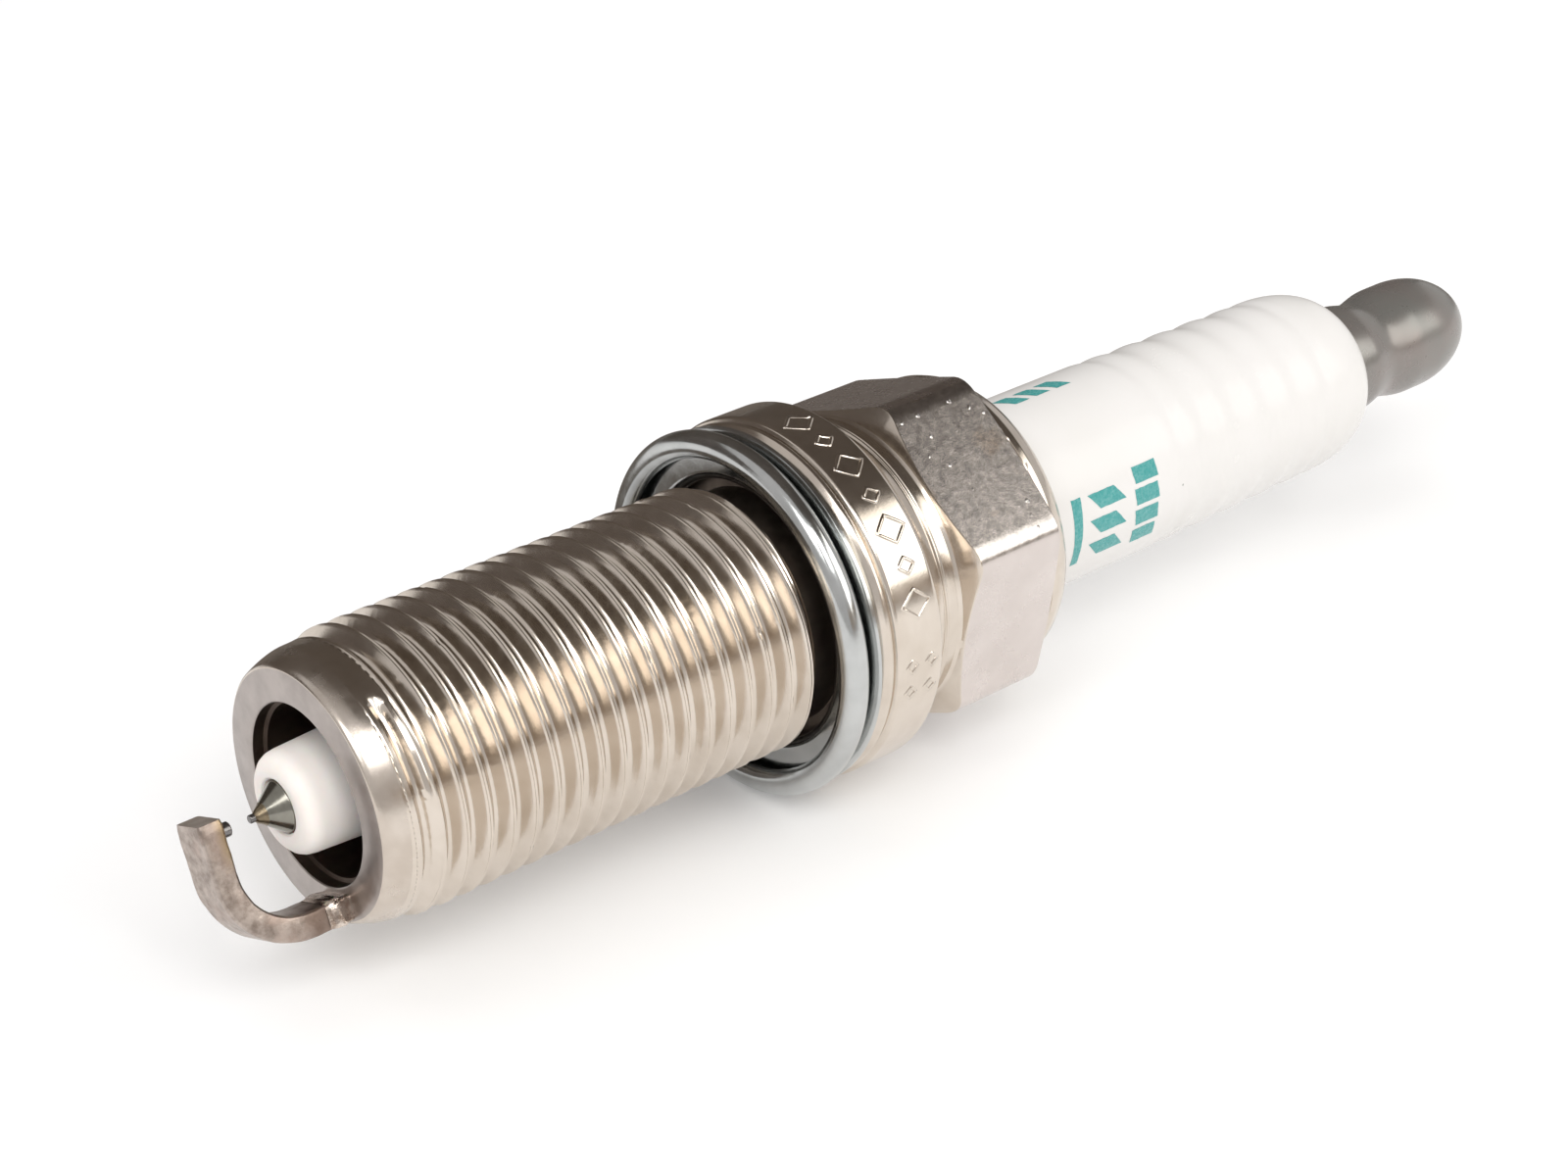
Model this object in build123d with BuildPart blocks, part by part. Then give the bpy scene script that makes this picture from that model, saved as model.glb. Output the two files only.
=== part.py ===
"""Spark plug, M14 x 1.25 with a 26.5 mm reach and a 16 mm hexagon, drawn lying along X.

X runs along the plug from the firing end to the terminal, Z is up and Y goes away to the side.
The origin is on the centre line, in the plane of the shell's gasket seat. All sizes are in mm.
Turned pieces are half sections in the XY plane (x along the plug, y the radius) turned about X.
"""

from build123d import *
from math import cos, radians, sin, tan
import os

os.makedirs("parts", exist_ok=True)

# ---------------------------------------------------------------- driving sizes
reach = 26.5  # seat to the end of the shell
pitch = 1.25
thread_r = 6.93  # crest flats of the M14 thread
thread_depth = 0.7
crest_flat = 0.2
relief_r = 6.1
relief_length = 1.95  # behind the last thread, up to the seat
end_face_r = 5.92
mouth_r = 4.42
nose_r = 6.62

across_flats = 16.0
hex_corner_round = 1.5
hex_turn = 51.3  # direction of one flat, degrees up from the -Y side
hex_end = 12.45
collar_r = 9.4
neck_r = 7.74
lip_end = 14.5
lip_bore_r = 5.42

shell_bore_r = 4.75
ledge_r = 3.85
ledge_back = -13.0
big_bore_r = 6.35
bore_shoulder = 3.4

boot_seat_r = 5.3  # exposed stretch of the insulator that a cap closes on
boot_seat_from = 15.5
boot_seat_to = 24.76
hidden_neck_from = 9.4
hidden_neck_r = 5.2
insulator_end = 41.4
insulator_bore_r = 1.95
electrode_bore_r = 1.29
rib_first = 26.0
rib_spacing = 2.48
rib_count = 5
rib_depth = 0.16

head_r = 1.88
head_front = -10.4
electrode_r = 1.25
tip_r = 0.2
tip_end = -29.46
nose_face = -27.95

strap_turn = -67.0  # direction of the ground electrode, degrees up from the -Y side
strap_thick = 1.2
strap_wide = 2.3
strap_centre_r = 5.25
strap_bend_r = 3.3
strap_far = -31.8  # middle of the upright leg
strap_past_axis = 0.8
weld_length = 1.2
chip_r = 0.35
chip_end = -30.5

sheet = 0.4  # thickness of the folded gasket sheet
terminal_r = 3.175
terminal_end = 53.0

shell_end = -reach


def radial(turn):
    """Unit direction across the plug, turned up from the -Y side."""
    return Vector(0, -cos(radians(turn)), sin(radians(turn)))


def closed_outline(*corners):
    """Fill a straight-sided outline in the sketch being drawn."""
    with BuildLine() as outline:
        Polyline(*corners, close=True)
    make_face(outline.edges())


# ---------------------------------------------------------------- shell
thread_start_turn = 65.0
thread_start = -24.69
groove_run_out = -1.4
groove_half = (pitch - crest_flat) / 2
groove_over = 0.1
flank = tan(radians(30))

nose_back = -24.8
full_thread_from = -23.5
chamfer_top = (shell_end + 0.14, end_face_r + 0.13)
relief_from = -relief_length + 0.3
relief_wall = (-relief_length + 0.02, relief_r + 0.3)
collar_back = 3.6
neck_from = 5.25
body_back = 6.6  # where the turned body meets the hexagon
skirt_root = hex_end - 0.6
skirt_top = (hex_end + 0.4, 8.0)
lip_edge = (lip_end, lip_bore_r + 0.3)
seat_rise_x = 0.55  # the insulator's seat cone, along and across
seat_rise_r = shell_bore_r - ledge_r
hex_start = 5.9
outer_trim_r = 9.5  # just outside the hexagon's corners

thread_plane = Plane(origin=(thread_start, 0, 0), x_dir=radial(thread_start_turn), z_dir=(1, 0, 0))
groove_path = thread_plane.location * Helix(
    pitch, groove_run_out - thread_start, thread_r - thread_depth, mode=Mode.PRIVATE
)

with BuildPart() as shell:
    # hexagon, with its ends faced to a steep cone in front and a slight one behind
    with BuildSketch(Plane.YZ.offset(hex_start)):
        RegularPolygon(across_flats / 2, 6, major_radius=False, rotation=180 - hex_turn + 30)
        fillet(vertices(), hex_corner_round)
    extrude(amount=hex_end - hex_start)
    with BuildSketch(Plane.XY):
        closed_outline(
            (hex_start, 0),
            (hex_start, 6.9),
            (6.97, 9.05),
            (7.0, outer_trim_r),
            (12.1, outer_trim_r),
            (12.3, 8.9),
            (hex_end, 8.0),
            (hex_end, 0),
        )
    revolve(axis=Axis.X, mode=Mode.INTERSECT)
    # the turned body
    with BuildSketch(Plane.XY):
        with BuildLine():
            Polyline((body_back, 0), (shell_end, 0), (shell_end, end_face_r), chamfer_top)
            ThreePointArc(chamfer_top, (shell_end + 0.8, 6.42), (nose_back, nose_r))
            Polyline(
                (nose_back, nose_r),
                (nose_back + 0.5, nose_r + 0.02),
                (full_thread_from, thread_r),
                (-relief_length - 0.12, thread_r),
                (-relief_length, thread_r - 0.1),
                relief_wall,
            )
            ThreePointArc(relief_wall, (relief_from - 0.2, relief_r + 0.1), (relief_from, relief_r))
            Polyline(
                (relief_from, relief_r),
                (0, relief_r),
                (0, 8.88),
                (0.36, 9.2),
                (0.5, 9.22),
                (0.54, 9.1),
                (0.64, 9.1),
                (0.72, collar_r - 0.08),
                (0.85, collar_r),
                (collar_back - 0.15, collar_r),
                (collar_back, collar_r - 0.1),
            )
            ThreePointArc((collar_back, collar_r - 0.1), (4.15, 8.3), (neck_from, neck_r + 0.08))
            Polyline(
                (neck_from, neck_r + 0.08),
                (neck_from + 0.07, neck_r + 0.14),
                (neck_from + 0.19, neck_r + 0.14),
                (neck_from + 0.25, neck_r),
                (body_back - 0.4, neck_r),
                (body_back, neck_r + 0.11),
                (body_back, 0),
            )
        make_face()
    revolve(axis=Axis.X)
    # crimped skirt behind the hexagon
    with BuildSketch(Plane.XY):
        with BuildLine():
            Polyline((skirt_root, 0), (skirt_root, 7.9), (hex_end, 8.02), skirt_top)
            Spline(skirt_top, (13.9, 7.42), (14.32, 6.6), lip_edge, tangents=[(1, -0.05), (0.1, -1)])
            Polyline(lip_edge, (lip_end - 0.12, lip_bore_r), (lip_end - 0.12, 0), (skirt_root, 0))
        make_face()
    revolve(axis=Axis.X)
    # inside, from the firing end to the crimp
    with BuildSketch(Plane.XY):
        closed_outline(
            (shell_end - 0.5, 0),
            (shell_end - 0.5, mouth_r),
            (shell_end + 0.62, mouth_r),
            (shell_end + 0.7, mouth_r - 0.2),
            (ledge_back - 1.8, mouth_r - 0.2),
            (ledge_back - 1.35, ledge_r),
            (ledge_back, ledge_r),
            (ledge_back + seat_rise_x, ledge_r + seat_rise_r),
            (bore_shoulder, shell_bore_r),
            (bore_shoulder + big_bore_r - shell_bore_r, big_bore_r),
            (13.35, big_bore_r),
            (14.1, lip_bore_r),
            (lip_end + 0.5, lip_bore_r),
            (lip_end + 0.5, 0),
        )
    revolve(axis=Axis.X, mode=Mode.SUBTRACT)
    # right-hand thread groove, run out into the relief
    groove_from = groove_path @ 0
    with BuildSketch(Plane(origin=groove_from, x_dir=radial(thread_start_turn), z_dir=groove_path % 0)):
        closed_outline(
            (0, -groove_half + thread_depth * flank),
            (thread_depth + groove_over, -groove_half - groove_over * flank),
            (thread_depth + groove_over, groove_half + groove_over * flank),
            (0, groove_half - thread_depth * flank),
        )
    sweep(path=groove_path, is_frenet=True, mode=Mode.SUBTRACT)
shell.part.label = "shell"
export_step(shell.part, "parts/shell.step")

# ---------------------------------------------------------------- captive gasket
# one strip of steel folded into an S: hollow front bead, middle layer, rear layer against the seat
rear_layer = -0.15 - sheet / 2
middle_layer = rear_layer - 0.7
fold_r = (rear_layer - middle_layer) / 2
fold_centre_r = 7.3
bead_r = 0.5
bead_x = middle_layer - bead_r
bead_centre_r = 8.75

with BuildPart() as gasket:
    with BuildSketch(Plane.XY):
        with BuildLine() as strip:
            CenterArc((bead_x, bead_centre_r), bead_r, 260, -260)
            Line((middle_layer, bead_centre_r), (middle_layer, fold_centre_r))
            CenterArc((middle_layer + fold_r, fold_centre_r), fold_r, 180, 180)
            Line((rear_layer, fold_centre_r), (rear_layer, 9.1))
            offset(strip.line, amount=sheet / 2, kind=Kind.ARC, side=Side.BOTH, mode=Mode.REPLACE)
        make_face()
    revolve(axis=Axis.X)
gasket.part.label = "gasket"
export_step(gasket.part, "parts/gasket.step")

# ---------------------------------------------------------------- insulator
nose_edge = (nose_face, 1.7)
nose_side = (nose_face + 0.8, 2.5)
body_r = 4.6
shoulder_r = 6.1
rib_taper = 0.035  # each rib is this much lower than the one before
last_land = (insulator_end - 3.6, 5.085)
mouth_edge = (insulator_end - 0.15, 3.62)

with BuildPart() as insulator:
    with BuildSketch(Plane.XY):
        with BuildLine():
            Polyline((nose_face + 0.12, electrode_bore_r), (nose_face, electrode_bore_r + 0.12), nose_edge)
            ThreePointArc(nose_edge, (nose_face + 0.22, 2.25), nose_side)
            Polyline(
                nose_side,
                (ledge_back - 0.6, 3.15),
                (ledge_back + 0.05, 3.45),
                (ledge_back + 0.74, body_r - 0.02),
                (ledge_back + 1.0, body_r),
                (bore_shoulder + 0.35, body_r),
                (bore_shoulder + 0.35 + shoulder_r - body_r, shoulder_r),
                (hidden_neck_from - 0.8, shoulder_r),
                (hidden_neck_from, hidden_neck_r),
                (boot_seat_from, boot_seat_r),
                (boot_seat_to, boot_seat_r),
            )
            foot = (boot_seat_to, boot_seat_r)
            for i in range(rib_count):
                crest_x = rib_first + i * rib_spacing
                crest_r = boot_seat_r - 0.03 - rib_taper * i
                valley = (crest_x - rib_spacing / 2 + 0.35, crest_r + 0.01 - rib_depth)
                Spline(foot, valley, (crest_x, crest_r), tangents=[(1, 0), (1, 0)])
                foot = (crest_x, crest_r)
            Spline(foot, last_land, tangents=[(1, 0), (1, 0)])
            ThreePointArc(last_land, (insulator_end - 1.7, 4.72), mouth_edge)
            Polyline(
                mouth_edge,
                (insulator_end, mouth_edge[1] - 0.22),
                (insulator_end, insulator_bore_r),
                (head_front, insulator_bore_r),
                (head_front - 0.66, electrode_bore_r),
                (nose_face + 0.12, electrode_bore_r),
            )
        make_face()
    revolve(axis=Axis.X)
insulator.part.label = "insulator"
export_step(insulator.part, "parts/insulator.step")

# ---------------------------------------------------------------- terminal post
barrel_r = 3.15
barrel_to = insulator_end + 1.7
waist = (45.1, 2.83)
bulb_from = 47.3
bulb_to = 48.5
stem_r = 1.7
grip_r = 1.45
grip_from = 6.8
grip_to = 12.0

with BuildPart() as terminal_post:
    with BuildSketch(Plane.XY):
        with BuildLine():
            Polyline(
                (terminal_end, 0),
                (grip_from, 0),
                (grip_from, grip_r - 0.2),
                (grip_from + 0.2, grip_r),
                (grip_to, grip_r),
                (grip_to + 0.3, stem_r),
                (insulator_end, stem_r),
                (insulator_end, barrel_r - 0.15),
                (insulator_end + 0.1, barrel_r),
                (barrel_to, barrel_r),
            )
            Spline((barrel_to, barrel_r), waist, (bulb_from, terminal_r), tangents=[(1, 0), (1, 0)])
            Line((bulb_from, terminal_r), (bulb_to, terminal_r))
            EllipticalCenterArc(
                (bulb_to, 0), terminal_end - bulb_to, terminal_r, start_angle=0, arc_size=90
            )
        make_face()
    revolve(axis=Axis.X)
terminal_post.part.label = "terminal_post"
export_step(terminal_post.part, "parts/terminal_post.step")


# ---------------------------------------------------------------- centre electrode and seals
head_back = -9.3
lower_seal_back = -6.5
resistor_back = 5.5
upper_seal_back = 9.0
core_r = 0.62
core_front = -26.6
cone_base = -27.9
weld_back = -28.75
weld_front = -29.17
weld_back_r = 0.55
pin_back = -28.35

with BuildPart() as upper_glass_seal:
    with BuildSketch(Plane.XY):
        closed_outline(
            (resistor_back, 0),
            (resistor_back, insulator_bore_r),
            (upper_seal_back, insulator_bore_r),
            (upper_seal_back, grip_r),
            (grip_from + 0.2, grip_r),
            (grip_from, grip_r - 0.2),
            (grip_from, 0),
        )
    revolve(axis=Axis.X)
upper_glass_seal.part.label = "upper_glass_seal"
export_step(upper_glass_seal.part, "parts/upper_glass_seal.step")

with BuildPart() as resistor:
    with BuildSketch(Plane.YZ.offset(lower_seal_back)):
        Circle(insulator_bore_r)
    extrude(amount=resistor_back - lower_seal_back)
resistor.part.label = "resistor"
export_step(resistor.part, "parts/resistor.step")

with BuildPart() as lower_glass_seal:
    with BuildSketch(Plane.YZ.offset(head_back)):
        Circle(insulator_bore_r)
    extrude(amount=lower_seal_back - head_back)
lower_glass_seal.part.label = "lower_glass_seal"
export_step(lower_glass_seal.part, "parts/lower_glass_seal.step")

cone_slope = (electrode_r - weld_back_r) / (cone_base - weld_back)
weld_front_r = weld_back_r - cone_slope * (weld_back - weld_front)

with BuildPart() as centre_electrode:
    with BuildSketch(Plane.XY):
        closed_outline(
            (head_back, core_r),
            (head_back, head_r - 0.28),
            (head_back - 0.3, head_r),
            (head_front - 0.02, head_r),
            (head_front - 0.65, electrode_r),
            (cone_base, electrode_r),
            (weld_back, weld_back_r),
            (weld_back, tip_r),
            (pin_back, tip_r),
            (pin_back, 0),
            (core_front, 0),
            (core_front + 0.4, core_r),
        )
    revolve(axis=Axis.X)
centre_electrode.part.label = "centre_electrode"
export_step(centre_electrode.part, "parts/centre_electrode.step")

with BuildPart() as electrode_copper_core:
    with BuildSketch(Plane.XY):
        closed_outline((core_front, 0), (core_front + 0.4, core_r), (head_back, core_r), (head_back, 0))
    revolve(axis=Axis.X)
electrode_copper_core.part.label = "electrode_copper_core"
export_step(electrode_copper_core.part, "parts/electrode_copper_core.step")

with BuildPart() as tip_weld:
    with BuildSketch(Plane.XY):
        closed_outline(
            (weld_back, tip_r),
            (weld_back, weld_back_r),
            (weld_front, weld_front_r),
            (weld_front - 0.04, tip_r),
        )
    revolve(axis=Axis.X)
tip_weld.part.label = "tip_weld"
export_step(tip_weld.part, "parts/tip_weld.step")

with BuildPart() as iridium_tip:
    with BuildSketch(Plane.YZ.offset(tip_end)):
        Circle(tip_r)
    extrude(amount=pin_back - tip_end)
    chamfer(faces().sort_by(Axis.X)[0].edges(), 0.03)
iridium_tip.part.label = "iridium_tip"
export_step(iridium_tip.part, "parts/iridium_tip.step")

# ---------------------------------------------------------------- packing inside the shell
washer_thick = 0.22
washer_run = 0.8  # along the seat cone
up_cone = Vector(seat_rise_x, seat_rise_r).normalized()
off_cone = Vector(seat_rise_r, -seat_rise_x).normalized()
washer_corner = Vector(ledge_back, ledge_r) + up_cone * 0.08 + off_cone * 0.01

with BuildPart() as seat_packing:
    with BuildSketch(Plane.XY):
        closed_outline(
            washer_corner,
            washer_corner + up_cone * washer_run,
            washer_corner + up_cone * washer_run + off_cone * washer_thick,
            washer_corner + off_cone * washer_thick,
        )
    revolve(axis=Axis.X)
seat_packing.part.label = "seat_packing"
export_step(seat_packing.part, "parts/seat_packing.step")

wire_r = 0.47
ring_centre_r = (boot_seat_r + big_bore_r) / 2
lower_ring_x = 9.62
upper_ring_x = 13.05

with BuildPart() as lower_wire_ring:
    with BuildSketch(Plane.XY):
        with Locations((lower_ring_x, ring_centre_r)):
            Circle(wire_r)
    revolve(axis=Axis.X)
lower_wire_ring.part.label = "lower_wire_ring"
export_step(lower_wire_ring.part, "parts/lower_wire_ring.step")

with BuildPart() as upper_wire_ring:
    with BuildSketch(Plane.XY):
        with Locations((upper_ring_x, ring_centre_r)):
            Circle(wire_r)
    revolve(axis=Axis.X)
upper_wire_ring.part.label = "upper_wire_ring"
export_step(upper_wire_ring.part, "parts/upper_wire_ring.step")

talc_front = lower_ring_x + wire_r + 0.02
talc_back = upper_ring_x - wire_r - 0.02
neck_slope = (boot_seat_r - hidden_neck_r) / (boot_seat_from - hidden_neck_from)

with BuildPart() as talc_filling:
    with BuildSketch(Plane.XY):
        closed_outline(
            (talc_front, hidden_neck_r + neck_slope * (talc_front - hidden_neck_from) + 0.01),
            (talc_front, big_bore_r - 0.01),
            (talc_back, big_bore_r - 0.01),
            (talc_back, hidden_neck_r + neck_slope * (talc_back - hidden_neck_from) + 0.01),
        )
    revolve(axis=Axis.X)
talc_filling.part.label = "talc_filling"
export_step(talc_filling.part, "parts/talc_filling.step")

# ---------------------------------------------------------------- ground electrode
# a flat bar bent over the gap; drawn in the plane through the centre line and the bar
strap_plane = Plane(origin=(0, 0, 0), x_dir=(1, 0, 0), z_dir=Vector(1, 0, 0).cross(radial(strap_turn)))
bar_from = shell_end - weld_length
bend_x = strap_far + strap_bend_r
bend_y = strap_centre_r - strap_bend_r
strap_edge_round = 0.22

with BuildPart() as ground_electrode:
    with BuildLine(strap_plane) as strap_path:
        Line((bar_from, strap_centre_r), (bend_x, strap_centre_r))
        CenterArc((bend_x, bend_y), strap_bend_r, 90, 90)
        Line((strap_far, bend_y), (strap_far, -strap_past_axis))
    strap_root = Plane(origin=strap_path.line @ 0, x_dir=radial(strap_turn), z_dir=strap_path.line % 0)
    with BuildSketch(strap_root):
        RectangleRounded(strap_thick, strap_wide, strap_edge_round)
    sweep(path=strap_path.line)
ground_electrode.part.label = "ground_electrode"
export_step(ground_electrode.part, "parts/ground_electrode.step")

with BuildPart() as ground_electrode_weld:
    with BuildSketch(strap_root):
        RectangleRounded(strap_thick + 0.02, strap_wide + 0.06, strap_edge_round)
    extrude(amount=-weld_length)
ground_electrode_weld.part.label = "ground_electrode_weld"
export_step(ground_electrode_weld.part, "parts/ground_electrode_weld.step")

strap_inner = strap_far + strap_thick / 2

with BuildPart() as platinum_chip:
    with BuildSketch(Plane.YZ.offset(strap_inner)):
        Circle(chip_r)
    extrude(amount=chip_end - strap_inner)
    chamfer(faces().sort_by(Axis.X)[-1].edges(), 0.04)
platinum_chip.part.label = "platinum_chip"
export_step(platinum_chip.part, "parts/platinum_chip.step")

with BuildPart() as chip_weld:
    with BuildSketch(Plane.XY):
        closed_outline(
            (strap_inner, chip_r),
            (strap_inner, chip_r + 0.16),
            (strap_inner + 0.06, chip_r + 0.12),
            (strap_inner + 0.16, chip_r),
        )
    revolve(axis=Axis.X)
chip_weld.part.label = "chip_weld"
export_step(chip_weld.part, "parts/chip_weld.step")
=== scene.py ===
"""Looks of the spark plug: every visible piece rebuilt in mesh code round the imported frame.

Lengths in this file are in millimetres until place() turns them into metres. x runs along the plug
from the firing end (-) to the terminal (+). A direction across the plug is a "turn" in degrees,
0 towards -Y and 90 towards +Z.
"""

import math
import random

import bmesh
import bpy
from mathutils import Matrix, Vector, noise


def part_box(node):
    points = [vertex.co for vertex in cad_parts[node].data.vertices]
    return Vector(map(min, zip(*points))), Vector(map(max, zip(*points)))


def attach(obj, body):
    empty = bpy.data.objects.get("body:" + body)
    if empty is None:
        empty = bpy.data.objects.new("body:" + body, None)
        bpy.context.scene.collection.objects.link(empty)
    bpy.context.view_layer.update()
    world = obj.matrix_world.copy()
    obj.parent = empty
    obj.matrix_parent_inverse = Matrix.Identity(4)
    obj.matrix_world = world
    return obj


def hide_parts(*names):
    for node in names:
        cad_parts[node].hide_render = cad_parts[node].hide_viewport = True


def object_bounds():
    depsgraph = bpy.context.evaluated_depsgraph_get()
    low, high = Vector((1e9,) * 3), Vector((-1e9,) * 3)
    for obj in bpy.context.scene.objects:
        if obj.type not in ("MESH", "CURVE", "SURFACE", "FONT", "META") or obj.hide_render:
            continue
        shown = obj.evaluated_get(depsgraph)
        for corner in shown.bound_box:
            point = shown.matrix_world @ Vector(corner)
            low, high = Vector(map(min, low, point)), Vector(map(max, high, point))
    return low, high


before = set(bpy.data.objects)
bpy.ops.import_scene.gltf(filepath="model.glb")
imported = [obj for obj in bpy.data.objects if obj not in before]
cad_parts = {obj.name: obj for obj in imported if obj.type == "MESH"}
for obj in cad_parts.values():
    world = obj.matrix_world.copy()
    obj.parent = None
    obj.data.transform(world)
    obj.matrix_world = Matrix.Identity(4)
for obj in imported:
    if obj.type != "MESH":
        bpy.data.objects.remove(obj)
cad_low, cad_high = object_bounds()

MM = 0.001
COLUMNS = 240  # round the shell, collar and gasket


def span(node):
    """Lowest x, highest x and outer radius of a turned CAD node, in mm."""
    low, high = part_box(node)
    return low[0] / MM, high[0] / MM, (high[2] - low[2]) / 2 / MM


shell_end, lip_end, collar_r = span("shell")
nose_face, insulator_end, _ = span("insulator")
terminal_root, terminal_end, terminal_r = span("terminal_post")
tip_end, _, _ = span("iridium_tip")
weld_front, weld_back, _ = span("tip_weld")
chip_back, chip_end, chip_r = span("platinum_chip")
foot_from, foot_to, _ = span("ground_electrode_weld")


# ------------------------------------------------------------------ mesh helpers
def place(x, turn, r):
    """A point in metres from its x, turn and radius."""
    a = math.radians(turn)
    return Vector((x, -math.cos(a) * r, math.sin(a) * r)) * MM


def finish_mesh(name, bm, body, materials, sharp=32):
    """Turn a bmesh into a smooth-shaded object that rides on a body."""
    bmesh.ops.remove_doubles(bm, verts=bm.verts, dist=2e-7)
    bmesh.ops.dissolve_degenerate(bm, edges=bm.edges, dist=1e-8)
    bmesh.ops.recalc_face_normals(bm, faces=bm.faces)
    mesh = bpy.data.meshes.new(name)
    bm.to_mesh(mesh)
    bm.free()
    for polygon in mesh.polygons:
        polygon.use_smooth = True
    mesh.set_sharp_from_angle(angle=math.radians(sharp))
    for material in materials:
        mesh.materials.append(material)
    piece = bpy.data.objects.new(name, mesh)
    bpy.context.scene.collection.objects.link(piece)
    weighted = piece.modifiers.new("face_weighted_normals", "WEIGHTED_NORMAL")
    weighted.keep_sharp = True
    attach(piece, body)
    return piece


def rounded(corners, steps=4):
    """Section points from (x, r) or (x, r, fillet) corners, with each fillet drawn as an arc."""
    most = 0.49  # share of the side next to it that a fillet may take
    points = []
    for i, corner in enumerate(corners):
        here = Vector(corner[:2])
        fillet = corner[2] if len(corner) > 2 else 0
        if not fillet or i in (0, len(corners) - 1):
            points.append(tuple(here))
            continue
        back = Vector(corners[i - 1][:2]) - here
        ahead = Vector(corners[i + 1][:2]) - here
        reach = min(fillet, back.length * most, ahead.length * most)
        start = here + back.normalized() * reach
        stop = here + ahead.normalized() * reach
        for k in range(steps + 1):
            t = k / steps
            points.append(tuple(start * (1 - t) ** 2 + here * 2 * t * (1 - t) + stop * t * t))
    return points


def skin(bm, ring_a, ring_b, material=0):
    """Quads between two closed rings of the same number of vertices."""
    count = len(ring_a)
    for j in range(count):
        k = (j + 1) % count
        corners = [ring_a[j], ring_a[k], ring_b[k], ring_b[j]]
        distinct = list(dict.fromkeys(corners))
        if len(distinct) > 2:
            bm.faces.new(distinct).material_index = material


def ring(bm, columns, point):
    """A closed ring of vertices; point(turn) gives (x, r)."""
    made = []
    for j in range(columns):
        turn = 360 * j / columns
        x, r = point(turn)
        made.append(bm.verts.new(place(x, turn, r)))
    return made


def turned(name, section, body, materials, columns=128, wobble=None, paint=None, sharp=32):
    """A piece turned about the centre line from section points (x, r)."""
    bm = bmesh.new()
    rings = []
    for x, r in section:
        if r <= 0:
            rings.append([bm.verts.new(place(x, 0, 0))] * columns)
        else:
            shape = wobble or (lambda x, r, turn: (x, r))
            rings.append(ring(bm, columns, lambda turn: shape(x, r, turn)))
    for i in range(len(rings) - 1):
        middle = (section[i][0] + section[i + 1][0]) / 2
        skin(bm, rings[i], rings[i + 1], paint(middle) if paint else 0)
    return finish_mesh(name, bm, body, materials, sharp)


def smooth_step(t):
    """0 before t = 0, 1 after t = 1, and a smooth rise between."""
    t = min(1.0, max(0.0, t))
    return t * t * (3 - 2 * t)


# ------------------------------------------------------------------ materials
# Texture scales are in cells per metre. The lows and highs given to remap are levels of the texture.
class Nodes:
    """Short names for the nodes that the materials below are made of."""

    def __init__(self, name):
        self.material = bpy.data.materials.new(name)
        self.material.use_nodes = True
        self.tree = self.material.node_tree
        self.shader = self.tree.nodes["Principled BSDF"]
        self.where = self.tree.nodes.new("ShaderNodeTexCoord").outputs["Object"]

    def link(self, out, socket):
        self.tree.links.new(out, socket)

    def stretched(self, x, y, z):
        """Object coordinates scaled per axis, so that a texture draws out along the small one."""
        node = self.tree.nodes.new("ShaderNodeMapping")
        self.link(self.where, node.inputs["Vector"])
        node.inputs["Scale"].default_value = (x, y, z)
        return node.outputs["Vector"]

    def noise(self, scale, detail=4, rough=0.55, where=None):
        node = self.tree.nodes.new("ShaderNodeTexNoise")
        self.link(where or self.where, node.inputs["Vector"])
        node.inputs["Scale"].default_value = scale
        node.inputs["Detail"].default_value = detail
        node.inputs["Roughness"].default_value = rough
        return node.outputs["Fac"]

    def cells(self, scale, where=None):
        node = self.tree.nodes.new("ShaderNodeTexVoronoi")
        self.link(where or self.where, node.inputs["Vector"])
        node.inputs["Scale"].default_value = scale
        return node.outputs["Distance"]

    def remap(self, value, from_low, from_high, to_low, to_high):
        node = self.tree.nodes.new("ShaderNodeMapRange")
        self.link(value, node.inputs["Value"])
        for socket, number in zip(
            ("From Min", "From Max", "To Min", "To Max"), (from_low, from_high, to_low, to_high)
        ):
            node.inputs[socket].default_value = number
        return node.outputs["Result"]

    def mix(self, factor, a, b):
        """Blend colours a and b, each a colour or a socket."""
        colour_inputs = (6, 7)
        colour_output = 2
        node = self.tree.nodes.new("ShaderNodeMix")
        node.data_type = "RGBA"
        self.link(factor, node.inputs["Factor"])
        for index, colour in zip(colour_inputs, (a, b)):
            if isinstance(colour, tuple):
                node.inputs[index].default_value = (*colour, 1)
            else:
                self.link(colour, node.inputs[index])
        return node.outputs[colour_output]

    def times(self, a, b):
        node = self.tree.nodes.new("ShaderNodeMath")
        node.operation = "MULTIPLY"
        self.link(a, node.inputs[0])
        self.link(b, node.inputs[1])
        return node.outputs[0]

    def coordinate(self, axis):
        """The "X", "Y" or "Z" coordinate in metres."""
        node = self.tree.nodes.new("ShaderNodeSeparateXYZ")
        self.link(self.where, node.inputs[0])
        return node.outputs[axis]

    def bump(self, value, depth_mm, strength=1.0, onto=None):
        node = self.tree.nodes.new("ShaderNodeBump")
        node.inputs["Strength"].default_value = strength
        node.inputs["Distance"].default_value = depth_mm * MM
        self.link(value, node.inputs["Height"])
        if onto:
            self.link(onto, node.inputs["Normal"])
        return node.outputs["Normal"]


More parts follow.
